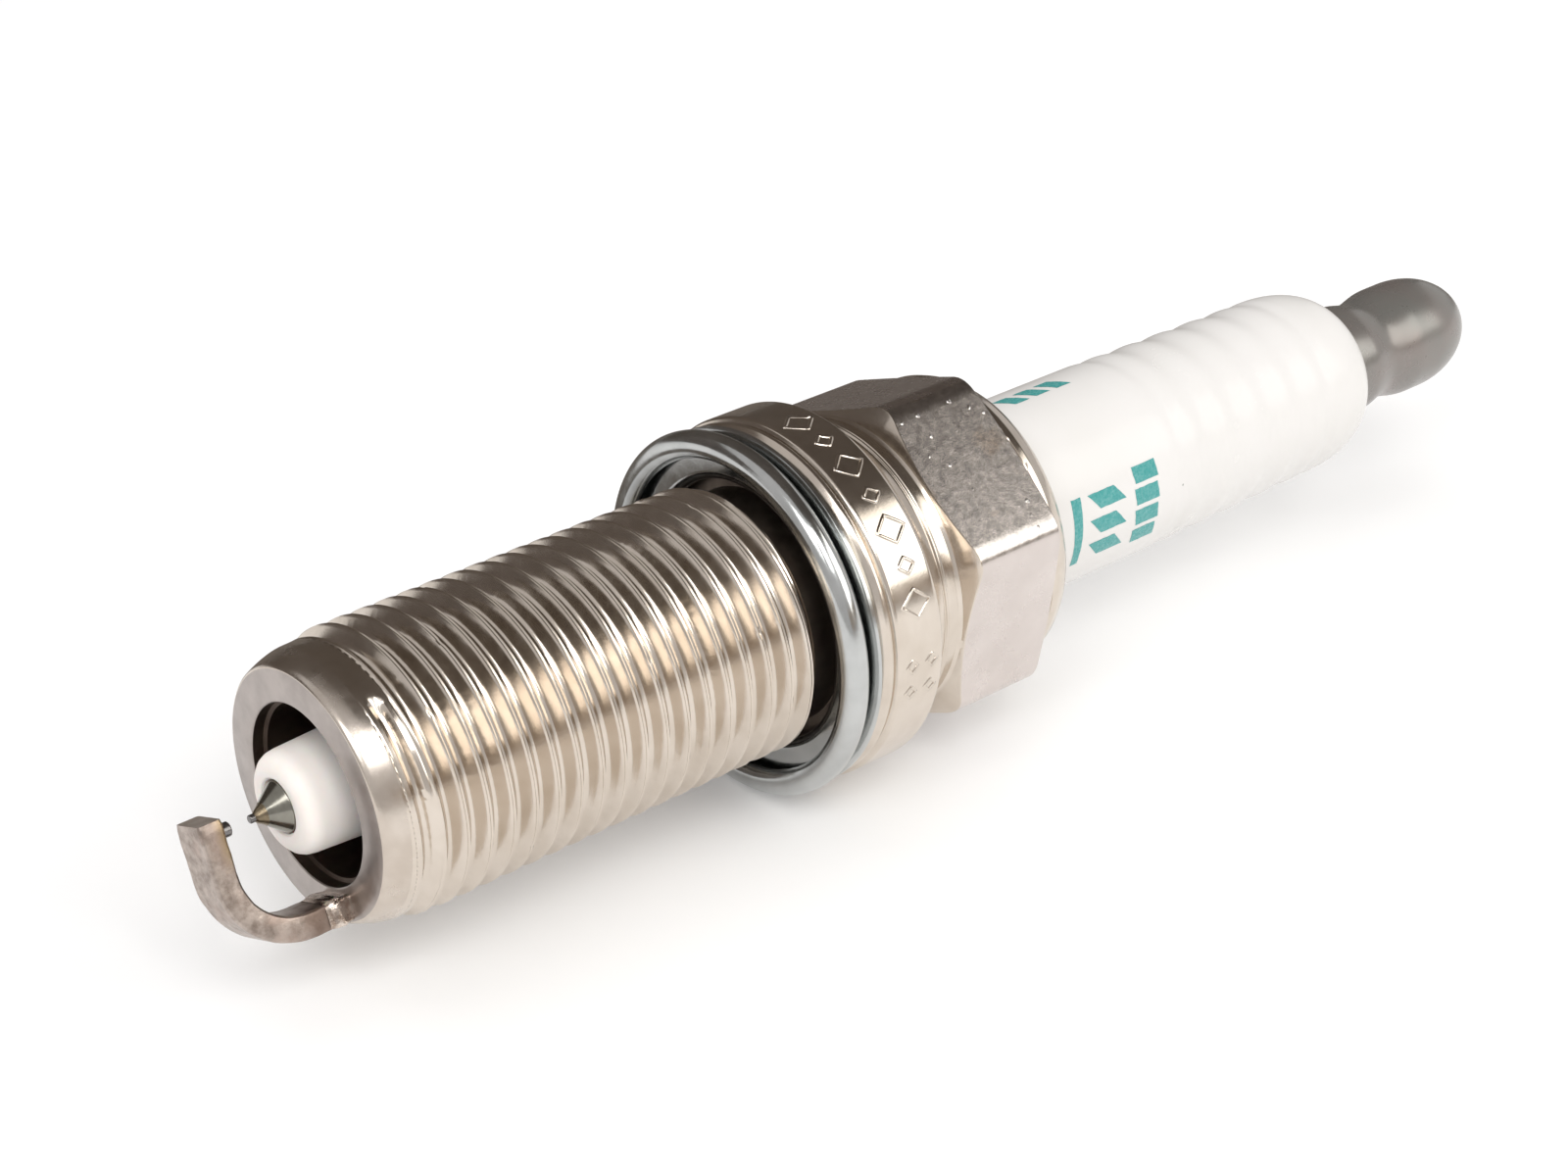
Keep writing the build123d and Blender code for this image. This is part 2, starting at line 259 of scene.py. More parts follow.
def metal(name, pale, deep, roughness, patch_size=900, grain=9000, grain_depth=0.004, scratch=0.003):
    """Worn metal: colour patches, uneven gloss, a fine grain and scratches round the piece."""
    n = Nodes(name)
    patches = n.remap(n.noise(patch_size, 5), 0.35, 0.65, 0, 1)
    n.link(n.mix(patches, pale, deep), n.shader.inputs["Base Color"])
    n.shader.inputs["Metallic"].default_value = 1.0
    spread = n.noise(patch_size * 2.3, 6, 0.6)
    n.link(n.remap(spread, 0.3, 0.7, roughness[0], roughness[1]), n.shader.inputs["Roughness"])
    fine = n.bump(n.noise(grain, 3), grain_depth)
    lines = n.noise(1, 2, 0.5, n.stretched(9000, 700, 700))
    n.link(n.bump(lines, scratch, onto=fine), n.shader.inputs["Normal"])
    return n.material


def hex_plate():
    """Nickel over a dull forged face: grey mottling, kept darker as partly painted shade, brown bloom,
    bright nicks.
    """
    n = Nodes("forged_nickel_and_shade")
    mottle = n.remap(n.noise(1900, 8, 0.7), 0.36, 0.64, 0, 1)
    # this grey is darker than the satin flats: partly painted shade of the flat facing the camera
    grey = n.mix(mottle, (0.44, 0.41, 0.39), (0.68, 0.63, 0.60))
    bloom = n.remap(n.noise(300, 4, 0.5), 0.56, 0.72, 0, 0.6)
    brown = n.mix(bloom, grey, (0.52, 0.36, 0.22))
    nicks = n.remap(n.cells(1400, n.stretched(1, 0.8, 1.2)), 0.10, 0.20, 1, 0)
    rare = n.remap(n.noise(420, 2), 0.56, 0.60, 0, 1)
    specks = n.times(nicks, rare)
    n.link(n.mix(specks, brown, (0.95, 0.92, 0.88)), n.shader.inputs["Base Color"])
    n.shader.inputs["Metallic"].default_value = 1.0
    n.link(n.remap(n.noise(2600, 6, 0.7), 0.3, 0.7, 0.15, 0.27), n.shader.inputs["Roughness"])
    grain = n.bump(n.noise(4500, 6, 0.75), 0.006)
    n.link(n.bump(specks, 0.05, onto=grain), n.shader.inputs["Normal"])
    return n.material


def glazed_ceramic():
    """White glaze over ceramic: slight waves, faint warm cloud, a few dark specks."""
    n = Nodes("white_glaze")
    cloud = n.remap(n.noise(160, 3), 0.35, 0.65, 0, 1)
    white = n.mix(cloud, (0.735, 0.72, 0.705), (0.715, 0.70, 0.68))
    speck = n.remap(n.cells(230), 0.012, 0.02, 1, 0)
    n.link(n.mix(speck, white, (0.35, 0.36, 0.33)), n.shader.inputs["Base Color"])
    n.link(n.remap(n.noise(300, 4), 0.3, 0.7, 0.2, 0.28), n.shader.inputs["Roughness"])
    n.shader.inputs["Specular IOR Level"].default_value = 0.2
    n.link(n.bump(n.noise(180, 3), 0.006), n.shader.inputs["Normal"])
    return n.material


def bare_ceramic():
    """Unglazed alumina of the firing end, matte and slightly warm."""
    n = Nodes("bare_ceramic")
    cloud = n.remap(n.noise(700, 4), 0.35, 0.65, 0, 1)
    n.link(n.mix(cloud, (0.96, 0.905, 0.86), (0.94, 0.875, 0.82)), n.shader.inputs["Base Color"])
    n.link(n.remap(n.noise(5000, 3), 0.3, 0.7, 0.45, 0.62), n.shader.inputs["Roughness"])
    n.shader.inputs["Subsurface Weight"].default_value = 0.15
    n.shader.inputs["Subsurface Scale"].default_value = 0.0006
    n.link(n.bump(n.noise(9000, 3), 0.004), n.shader.inputs["Normal"])
    return n.material


def teal_ink():
    """Fired-on print, a little thin in places."""
    n = Nodes("teal_print")
    thin = n.remap(n.noise(6500, 4, 0.6), 0.42, 0.75, 0, 0.5)
    n.link(n.mix(thin, (0.045, 0.30, 0.29), (0.25, 0.50, 0.49)), n.shader.inputs["Base Color"])
    n.link(n.remap(n.noise(3000, 3), 0.3, 0.7, 0.2, 0.35), n.shader.inputs["Roughness"])
    n.link(n.bump(n.noise(8000, 3), 0.003), n.shader.inputs["Normal"])
    return n.material


def powder(name, pale, deep, scale=4000):
    """Pressed or fused powder, for the pieces sealed inside."""
    n = Nodes(name)
    n.link(n.mix(n.noise(scale, 6, 0.7), pale, deep), n.shader.inputs["Base Color"])
    n.link(n.remap(n.noise(scale * 1.5, 4), 0.3, 0.7, 0.6, 0.85), n.shader.inputs["Roughness"])
    n.link(n.bump(n.noise(scale * 2, 4), 0.01), n.shader.inputs["Normal"])
    return n.material


def strap_alloy():
    """Ground electrode: mottled brown-grey nickel alloy, gold-brown where it was heated."""
    n = Nodes("heat_marked_alloy")
    mottle = n.remap(n.noise(1500, 6, 0.65), 0.36, 0.64, 0, 1)
    grey = n.mix(mottle, (0.27, 0.22, 0.19), (0.50, 0.43, 0.385))
    pink = n.mix(n.remap(n.noise(600, 3), 0.45, 0.65, 0, 0.6), grey, (0.45, 0.34, 0.29))
    foot_heat = (-29.1 * MM, -28.4 * MM)  # x over which the bar browns towards its weld
    chip_heat = (-31.8 * MM, -31.2 * MM)  # x over which its free end browns towards the chip
    end_heat = (-1.2 * MM, -0.2 * MM)  # z over which that browning starts
    near_weld = n.remap(n.coordinate("X"), *foot_heat, 0, 0.75)
    inner_side = n.remap(n.coordinate("X"), *chip_heat, 0, 1)
    upper_end = n.remap(n.coordinate("Z"), *end_heat, 0, 1)
    near_chip = n.times(inner_side, upper_end)
    browned = n.mix(near_weld, pink, (0.19, 0.13, 0.10))
    n.link(n.mix(near_chip, browned, (0.33, 0.24, 0.13)), n.shader.inputs["Base Color"])
    n.shader.inputs["Metallic"].default_value = 1.0
    n.link(n.remap(n.noise(2500, 6, 0.7), 0.3, 0.7, 0.26, 0.46), n.shader.inputs["Roughness"])
    coarse = n.bump(n.noise(1800, 5, 0.6), 0.02)
    n.link(n.bump(n.noise(9000, 4), 0.006, onto=coarse), n.shader.inputs["Normal"])
    return n.material


def oxide_film():
    """Steel under a dull grey oxide: half metal, with faint greenish and brownish clouds."""
    n = Nodes("oxidised_steel")
    cloud = n.remap(n.noise(260, 4), 0.35, 0.65, 0, 1)
    n.link(n.mix(cloud, (0.235, 0.205, 0.19), (0.215, 0.21, 0.195)), n.shader.inputs["Base Color"])
    n.shader.inputs["Metallic"].default_value = 0.45
    n.shader.inputs["Specular IOR Level"].default_value = 1.0
    n.link(n.remap(n.noise(600, 5), 0.3, 0.7, 0.24, 0.32), n.shader.inputs["Roughness"])
    n.link(n.bump(n.noise(2500, 3), 0.001), n.shader.inputs["Normal"])
    return n.material


nickel = metal(
    "nickel_plate", (0.69, 0.622, 0.55), (0.62, 0.55, 0.475), (0.14, 0.22), 500, 7000, 0.0015, 0.0015
)
nose_nickel = metal(
    "nose_nickel", (0.67, 0.605, 0.54), (0.56, 0.49, 0.425), (0.19, 0.30), 450, 7000, 0.0015, 0.001
)
satin_nickel = metal(
    "satin_nickel", (0.69, 0.63, 0.60), (0.63, 0.57, 0.54), (0.22, 0.30), 350, 5000, 0.0012, 0.001
)
forged_and_shaded = hex_plate()
end_face_nickel = metal("end_face_nickel", (0.45, 0.405, 0.38), (0.37, 0.33, 0.31), (0.28, 0.38), 700, 5000)
# dark inside of the bore and mouth: painted shade of the deep recess
bore_shade_metal = metal("painted_shade_bore", (0.10, 0.075, 0.06), (0.07, 0.05, 0.04), (0.38, 0.5), 700, 4000)
relief_nickel = metal("shaded_relief", (0.22, 0.18, 0.15), (0.17, 0.135, 0.11), (0.35, 0.5), 700, 4000)
zinc = metal(
    "zinc_plate", (0.56, 0.57, 0.565), (0.47, 0.48, 0.475), (0.13, 0.22), 500, 5000, 0.002, 0.003
)
glaze = glazed_ceramic()
bisque = bare_ceramic()
ink = teal_ink()
oxidised = oxide_film()
alloy = metal(
    "electrode_alloy", (0.30, 0.29, 0.25), (0.23, 0.22, 0.19), (0.14, 0.22), 900, 6000, 0.002, 0.002
)
strap_metal = strap_alloy()
cut_metal = metal("cut_strap_end", (0.80, 0.73, 0.67), (0.66, 0.59, 0.53), (0.45, 0.6), 1500, 5000, 0.01)
mouth_stain = powder("mouth_stain", (0.50, 0.26, 0.10), (0.34, 0.17, 0.08))
spatter = metal("weld_spatter", (0.74, 0.66, 0.59), (0.34, 0.26, 0.21), (0.12, 0.32), 2600, 9000, 0.01)
gold_weld = metal("heated_weld", (0.25, 0.20, 0.13), (0.17, 0.135, 0.095), (0.22, 0.34), 1500, 8000)
noble = metal("noble_wire", (0.26, 0.25, 0.245), (0.17, 0.165, 0.165), (0.22, 0.34), 2000, 9000)
bare_steel = metal("bare_steel", (0.45, 0.43, 0.41), (0.35, 0.33, 0.31), (0.3, 0.45), 900, 6000)
copper = metal("copper", (0.80, 0.42, 0.27), (0.66, 0.33, 0.21), (0.25, 0.4), 900, 6000)

# ------------------------------------------------------------------ shell
pitch = 1.25
thread_r = 6.93  # over the crests
root_r = 6.23
crest_edge = 0.555  # from the middle of the groove to where the crest begins
thread_turn = 65.0  # where the groove starts
thread_start = -24.69
groove_run_in = 12.0  # degrees over which the groove reaches full depth
strip_from, strip_to = -25.3, -2.02  # stretch covered by the thread's winding strip
bore_r, mouth_r, face_r = 4.22, 4.42, 6.02
relief_r, seat_r, rim_r = 6.1, 8.3, 9.40
nose_back_x, nose_back_r = -24.8, 6.62
nose_length, nose_fall, nose_flare = 1.46, 0.40, 1.6
land_slope = 0.04  # of the short land behind the nose
crest_from_x, crest_from_r, crest_rise = -24.3, 6.64, 0.9
hex_turn = 51.3
hex_front, hex_rear = 6.45, 12.45
flat_r = 8.0
corner_round = 1.5
nick_count = 34
nicked_turns = 17
chooser = random.Random(5)
nicks = [
    (chooser.uniform(0, nicked_turns * 360), chooser.uniform(0.5, 1.6), chooser.uniform(0.02, 0.07))
    for _ in range(nick_count)
]


def nose_r(x):
    """Radius of the shell without its groove: the rounded nose, a short land and the crests."""
    if x < nose_back_x:
        return nose_back_r - nose_fall * ((nose_back_x - x) / nose_length) ** nose_flare
    if x < crest_from_x:
        return nose_back_r + land_slope * (x - nose_back_x)
    return crest_from_r + (thread_r - crest_from_r) * smooth_step((x - crest_from_x) / crest_rise)


def crest_loss(along_helix):
    """How far a crest is worn or nicked away at a place along the helix, in mm."""
    wear = 0.012
    loss = wear * (1 + noise.noise(Vector((along_helix * 0.11, 2.0, 0.0))))
    for at, width, deep in nicks:
        away = (along_helix - at) / width
        if abs(away) < 2:
            loss += deep * math.exp(-away * away)
    return loss


def thread_point_r(x, angle):
    """Radius of the threaded surface; angle is measured back from the start of the groove."""
    flank_from, flank_drop = 0.12, 0.03
    root_half, root_rise = 0.22, 0.173
    seam_depth, seam_width = 0.04, 0.06
    turns = round((x - thread_start) / pitch - angle / 360)
    travelled = 360 * turns + angle
    from_groove = x - thread_start - pitch * travelled / 360
    envelope = nose_r(x)
    crest = travelled + (180 if from_groove > 0 else -180)
    side = abs(from_groove)
    seam = seam_depth * smooth_step((side - crest_edge) / seam_width)
    full = smooth_step(travelled / groove_run_in)
    top = envelope - full * (seam + crest_loss(crest))
    flank = root_r + max(0.0, side - flank_from) * math.sqrt(3) - flank_drop
    if side < root_half:
        flank = root_r + root_rise * (side / root_half) ** 2
    return top if flank > top else top - full * (top - flank)


def hex_r(turn):
    """Radius of the hexagon with rounded corners."""
    off = abs((turn - hex_turn + 30) % 60 - 30)
    tangent = math.degrees(math.atan((flat_r - corner_round) * math.tan(math.radians(30)) / flat_r))
    if off <= tangent:
        return flat_r / math.cos(math.radians(off))
    centre = (flat_r - corner_round) / math.cos(math.radians(30))
    across = centre * math.sin(math.radians(30 - off))
    return centre * math.cos(math.radians(30 - off)) + math.sqrt(corner_round**2 - across**2)


# material indices of the shell, in the order of its finishes
NICKEL, FORGED_AND_SHADED, BORE, END, RELIEF, NOSE, SATIN = range(7)


def build_shell():
    """The whole visible shell as one mesh: bore, nose, thread, relief, collar, hexagon and skirt."""
    bm = bmesh.new()

    def lathe(points, material, last=None):
        """Turn the points (x, r), where r may be a function of the turn, onto the ring last."""
        for x, r in points:
            here = ring(bm, COLUMNS, lambda turn: (x, r(turn) if callable(r) else r))
            if last:
                skin(bm, last, here, material)
            last = here
        return last

    # bore and mouth in painted shade, and end face
    mouth_x = shell_end + 0.05
    bore = [(-14.35, 3.85), (-14.8, bore_r), (-25.8, bore_r), (-25.88, mouth_r, 0.03), (mouth_x, mouth_r)]
    lathe(rounded(bore), BORE)
    lathe(rounded([(mouth_x, mouth_r), (shell_end, mouth_r + 0.05), (shell_end, face_r)]), END)
    front = [(shell_end, face_r), (shell_end + 0.02, face_r + 0.05)]
    front += [(x, nose_r(x)) for x in (shell_end + 0.10, -26.2, -26.0, -25.8, -25.6, strip_from)]
    lathe(front, NOSE)

    # threaded stretch as one strip that winds on; its points past either end fold onto that end
    half = [pitch / 2, 0.585, 0.55, 0.51, 0.47, 0.36, 0.22, 0.16, 0.08]  # from the middle of the groove
    across = [-u for u in half] + [0.0] + half[:0:-1]
    across_count = len(across)
    first = -2 * COLUMNS
    turns = 22
    folded_flat = 1e-9  # metres
    rows = {}

    def next_across(s, k):
        """The vertex beside row s, column k, which after the last column is on the next turn."""
        return rows[s, k + 1] if k + 1 < across_count else rows[s + COLUMNS, 0]

    for s in range(first, turns * COLUMNS):
        angle = 360 * (s % COLUMNS) / COLUMNS
        centre = thread_start + pitch * s / COLUMNS
        for k, u in enumerate(across):
            x = min(strip_to, max(strip_from, centre + u))
            rows[s, k] = bm.verts.new(place(x, thread_turn - angle, thread_point_r(x, angle)))
    for s in range(first, (turns - 1) * COLUMNS - 1):
        for k in range(across_count):
            corners = [rows[s, k], rows[s + 1, k], next_across(s + 1, k), next_across(s, k)]
            spread = max(v.co.x for v in corners) - min(v.co.x for v in corners)
            if spread > folded_flat:
                bm.faces.new(corners)

    # relief, seat, collar and neck
    def end_of_thread(turn):
        return thread_point_r(strip_to, (thread_turn - turn) % 360)

    relief = [(strip_to, end_of_thread)]
    relief += [(strip_to + 0.06, lambda turn: min(end_of_thread(turn), thread_r - 0.08))]
    relief += rounded([(-1.93, 6.35), (-1.85, relief_r, 0.15), (0, relief_r, 0.05), (0, seat_r)])
    lathe(relief, RELIEF)
    collar_and_neck = rounded(
        [
            (0, seat_r),
            (0, 8.85, 0.04),
            (0.34, 9.19, 0.06),
            (0.50, 9.22, 0.03),
            (0.54, 9.08, 0.02),
            (0.64, 9.08, 0.02),
            (0.74, 9.33, 0.05),
            (0.88, rim_r, 0.06),
            (3.42, rim_r, 0.10),
            (3.62, 9.28, 0.06),
            (3.80, 8.85),
            (4.05, 8.42),
            (4.40, 8.10),
            (4.80, 7.92),
            (5.22, 7.80, 0.03),
            (5.30, 7.90, 0.03),
            (5.38, 7.90, 0.02),
            (5.43, 7.84, 0.02),
            (5.49, 7.89, 0.02),
            (5.56, 7.75, 0.03),
            (6.18, 7.74, 0.03),
            (6.36, 7.84),
        ],
        3,
    )
    last = lathe(collar_and_neck, NICKEL)

    # hexagon: each column bends from the cone in front onto its flat and over the edge behind
    def front_of_flat(turn, back=0.0):
        burr = 0.02 * noise.noise(Vector((turn * 0.35, 7.0, 0.0)))
        return hex_front + (hex_r(turn) - flat_r) * 0.5 + burr - back

    def rear_of_flat(turn, ahead=0.0):
        return hex_rear - (hex_r(turn) - flat_r) * 0.17 - ahead

    rows_of_hex = [
        (lambda t: (front_of_flat(t, 0.03), hex_r(t) - 0.06), NICKEL),
        (lambda t: (front_of_flat(t, 0.0), hex_r(t) - 0.015), NICKEL),
        (lambda t: (front_of_flat(t, -0.05), hex_r(t)), NICKEL),
        (lambda t: ((front_of_flat(t) + rear_of_flat(t)) / 2, hex_r(t)), FORGED_AND_SHADED),
        (lambda t: (rear_of_flat(t, 0.10), hex_r(t)), FORGED_AND_SHADED),
        (lambda t: (rear_of_flat(t, 0.03), hex_r(t) - 0.03), FORGED_AND_SHADED),
        (lambda t: (rear_of_flat(t, -0.01), hex_r(t) - 0.10), NICKEL),
        (lambda t: (hex_rear + 0.02, min(hex_r(t) - 0.11, flat_r + 0.02)), NICKEL),
    ]
    for point, material in rows_of_hex:
        here = ring(bm, COLUMNS, point)
        skin(bm, last, here, material)
        last = here

    # crimped skirt and its inner edge
    skirt = rounded(
        [
            (12.52, 7.98),
            (12.85, 8.0, 0.10),
            (13.35, 7.83),
            (13.75, 7.56),
            (14.05, 7.20),
            (14.25, 6.80),
            (14.38, 6.40),
            (lip_end - 0.03, 5.95),
            (lip_end, 5.72, 0.05),
            (lip_end - 0.10, 5.42, 0.05),
            (14.0, 5.42),
            (13.7, 5.8),
        ]
    )
    lathe(skirt, NICKEL, last)

    # two opposite flats kept the rough forged skin, its grey partly darkened as painted shade; the others
    # came out smoother
    for face in bm.faces:
        if face.material_index == FORGED_AND_SHADED:
            at = face.calc_center_median()
            turn = math.degrees(math.atan2(at.z, -at.y))
            if round((turn - hex_turn) / 60) % 3:
                face.material_index = SATIN
    finishes = [nickel, forged_and_shaded, bore_shade_metal, end_face_nickel, relief_nickel, nose_nickel, satin_nickel]
    return finish_mesh("shell_surface", bm, "plug", finishes, 28)


shell = build_shell()
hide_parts("shell")

# ------------------------------------------------------------------ gasket
bead_x, bead_r = -1.55, 8.75  # middle of the rolled bead
bead_outer, bead_inner = 0.70, 0.30
bead_sweep = 258  # degrees that the bead curls round


def arc(cx, cr, radius, start, stop, steps):
    """Points on an arc in the (x, r) plane; 0 degrees points along +x."""
    return [
        (
            cx + radius * math.cos(math.radians(start + (stop - start) * i / steps)),
            cr + radius * math.sin(math.radians(start + (stop - start) * i / steps)),
        )
        for i in range(steps + 1)
    ]


def gasket_wobble(x, r, turn):
    """The rolled strip isn't quite even round the ring."""
    wave = noise.noise(Vector((math.cos(math.radians(turn)), math.sin(math.radians(turn)), 3.0)))
    return x, r + 0.03 * wave * smooth_step((r - 7.5) / 1.0)


def build_gasket():
    """One strip: the bead in front, a wall inwards, a fold and a wall outwards again behind."""
    half_sheet = 0.2
    middle, rear = -1.05, -0.35
    fold = (rear - middle) / 2
    fold_r = 7.3
    section = arc(bead_x, bead_r, bead_outer, bead_sweep, 0, 30)
    section += [(middle + half_sheet, bead_r), (middle + half_sheet, 7.55)]
    section += arc(middle + fold, fold_r, fold - half_sheet, 180, 360, 8)
    section += [
        (rear - half_sheet, 7.6),
        (rear - half_sheet, 9.05),
        (rear - 0.08, 9.26),
        (rear + 0.08, 9.28),
        (rear + half_sheet, 9.12),
        (rear + half_sheet, fold_r),
    ]
    section += arc(middle + fold, fold_r, fold + half_sheet, 360, 180, 12)
    section += [(middle - half_sheet, 8.2)]
    section += arc(bead_x, bead_r, bead_inner, 0, bead_sweep, 16)
    section.append(section[0])
    return turned(
        "gasket_ring", section, "gasket_ring", [zinc], COLUMNS, gasket_wobble, sharp=40
    )


gasket = build_gasket()
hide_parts("gasket")

# ------------------------------------------------------------------ insulator
barrel_r = 5.3
rib_first, rib_spacing, rib_depth = 26.0, 2.48, 0.115
ribs_from, ribs_to = 23.6, 37.7
taper_from, taper_slope = 24.4, 0.0163


def insulator_finish(x):
    """Index of the finish at x: 1 bare in front of x = 0, 2 stained on the rear end face, else 0 glazed."""
    if x < 0:
        return 1
    return 2 if x > insulator_end - 0.01 else 0


def build_insulator():
    """Nose, body inside the shell, plain barrel, shallow ribs and the rounded rear end."""
    nose_bore_r = 1.29
    section = rounded(
        [
            (-27.2, nose_bore_r),
            (nose_face + 0.12, nose_bore_r, 0.05),
            (nose_face, 1.41, 0.05),
            (nose_face, 1.75, 0.1),
            (nose_face + 0.10, 2.12),
            (nose_face + 0.30, 2.33),
            (nose_face + 0.55, 2.45),
            (nose_face + 0.9, 2.505),
            (-13.6, 3.15),
            (-12.95, 3.45),
            (-12.26, 4.58),
            (3.75, 4.6),
            (5.25, 6.1),
            (8.6, 6.1),
            (9.4, 5.2),
            (15.5, barrel_r, 0.3),
            (23.0, barrel_r),
        ]
    )
    steps = 90
    for i in range(steps + 1):
        x = ribs_from + (ribs_to - ribs_from) * i / steps
        fade = smooth_step((x - 24.0) / 1.4) * smooth_step((37.6 - x) / 0.9)
        along = (x - rib_first) / rib_spacing
        valley = 0.5 - 0.5 * math.cos(2 * math.pi * along)
        taper = taper_slope * max(0.0, x - taper_from)
        section.append((x, barrel_r - taper - rib_depth * valley * fade))
    end_steps = 18
    end_long, end_wide, end_r = 3.55, 1.463, 3.62  # the rounded end is a quarter of an ellipse
    for i in range(1, end_steps):
        a = math.pi / 2 * i / end_steps
        section.append((ribs_to + end_long * math.sin(a), end_r + end_wide * math.cos(a)))
    section += rounded([(insulator_end - 0.13, end_r), (insulator_end, 3.42, 0.08), (insulator_end, 1.95)])
    return turned(
        "insulator_body",
        section,
        "plug",
        [glaze, bisque, mouth_stain],
        160,
        paint=insulator_finish,
        sharp=40,
    )


insulator = build_insulator()
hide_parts("insulator")


# ------------------------------------------------------------------ terminal
def build_terminal():
    """Upper end of the stem, foot on the insulator, waist, bulb and domed end."""
    stem_from = terminal_root + 30
    stem_r, foot_r, waist_r, bulb_r = 1.7, 3.15, 2.83, 3.175
    foot_x, waist_x, bulb_x, dome_x = 43.1, 45.1, 47.3, 48.5
    foot_steps, bulb_steps, dome_steps = 12, 16, 28
    under = insulator_end - 0.02
    section = [(stem_from, stem_r), (under, stem_r), (under, 3.0)]
    section += rounded([(insulator_end, 3.02), (insulator_end + 0.12, foot_r, 0.05), (foot_x, foot_r, 0.2)])
    for i in range(1, foot_steps + 1):
        t = i / foot_steps
        section.append((foot_x + (waist_x - foot_x) * t, foot_r + (waist_r - foot_r) * smooth_step(t)))
    for i in range(1, bulb_steps + 1):
        t = i / bulb_steps
        swell = (bulb_r - waist_r) * smooth_step(t) ** 0.9
        section.append((waist_x + (bulb_x - waist_x) * t, waist_r + swell))
    section.append((dome_x, terminal_r))
    for i in range(1, dome_steps):
        a = math.pi / 2 * i / dome_steps
        section.append((dome_x + (terminal_end - dome_x) * math.sin(a), terminal_r * math.cos(a)))
    section.append((terminal_end, 0))
    return turned("terminal_barrel", section, "plug", [oxidised], 96)


terminal = build_terminal()
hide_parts("terminal_post")

# ------------------------------------------------------------------ firing end
head_r, cone_end_r, wire_r = 1.25, 0.55, 0.2
cone = turned(
    "electrode_cone",
    rounded([(-26.5, head_r), (-27.9, head_r, 0.05), (weld_back, cone_end_r)]),
    "plug",
    [alloy],
    64,
)
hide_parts("centre_electrode")


def lumpy(amount, scale):
    """Small uneven swellings round a turned piece."""

    def shape(x, r, turn):
        a = math.radians(turn)
        bump = noise.noise(Vector((x * scale, math.cos(a) * scale * 0.5, math.sin(a) * scale * 0.5)))
        return x, r * (1 + amount * bump)

    return shape


tip_weld = turned(
    "wire_weld",
    [
        (weld_back, cone_end_r),
        (-28.85, 0.475),
        (-28.95, 0.40),
        (-29.05, 0.335),
        (-29.13, 0.28),
        (weld_front, wire_r),
    ],
    "plug",
    [gold_weld],
    48,
    lumpy(0.08, 6.0),
)
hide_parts("tip_weld")
wire = turned(
    "wire_tip",
    rounded([(-28.9, wire_r), (tip_end + 0.03, wire_r, 0.02), (tip_end, wire_r - 0.03), (tip_end, 0)]),
    "plug",
    [noble],
    32,
)
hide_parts("iridium_tip")
chip = turned(
    "chip_pin",
    rounded(
        [
            (chip_back - 0.05, chip_r),
            (chip_end - 0.04, chip_r, 0.02),
            (chip_end, chip_r - 0.05),
            (chip_end, 0),
        ]
    ),
    "plug",
    [noble],
    32,
)
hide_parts("platinum_chip")
collar = turned(
    "chip_collar",
    [(chip_back - 0.03, 0.54), (chip_back + 0.03, 0.50), (chip_back + 0.08, 0.43), (chip_back + 0.16, 0.34)],
    "plug",
    [gold_weld],
    32,
    lumpy(0.10, 5.0),
)
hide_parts("chip_weld")

# ground electrode: a flat bar swept along its bend
strap_turn = -67.0
strap_thick, strap_wide = 1.2, 2.3
strap_centre_r, strap_bend_r = 5.25, 3.3
strap_far, strap_past = -31.8, 0.8  # x of the bar's free stretch, and how far that passes the axis
down = Vector((0, -math.cos(math.radians(strap_turn)), math.sin(math.radians(strap_turn))))
side = Vector((1, 0, 0)).cross(down)


def bar_outline(thick, wide, corner, steps=4):
    """Rounded rectangle as (across thickness, across width) points."""
    points = []
    for quarter, (sx, sy) in enumerate(((1, 1), (-1, 1), (-1, -1), (1, -1))):
        for k in range(steps + 1):
            a = math.radians(90 * quarter + 90 * k / steps)
            in_thickness = sx * (thick / 2 - corner) + corner * math.cos(a)
            in_width = sy * (wide / 2 - corner) + corner * math.sin(a)
            points.append((in_thickness, in_width))
    return points


def strap_stations():
    """Centre line of the bar as (x, distance from the axis, direction) from the weld to the free end."""
    foot_steps, bend_steps, end_steps = 6, 24, 10
    bend_x, bend_y = strap_far + strap_bend_r, strap_centre_r - strap_bend_r
    stations = []
    for i in range(foot_steps):
        stations.append((foot_from + (bend_x - foot_from) * i / foot_steps, strap_centre_r, 0))
    for i in range(bend_steps + 1):
        a = 90 * i / bend_steps
        x = bend_x - strap_bend_r * math.sin(math.radians(a))
        stations.append((x, bend_y + strap_bend_r * math.cos(math.radians(a)), a))
    for i in range(1, end_steps + 1):
        stations.append((strap_far, bend_y - (strap_past + bend_y) * i / end_steps, 90))
    return stations


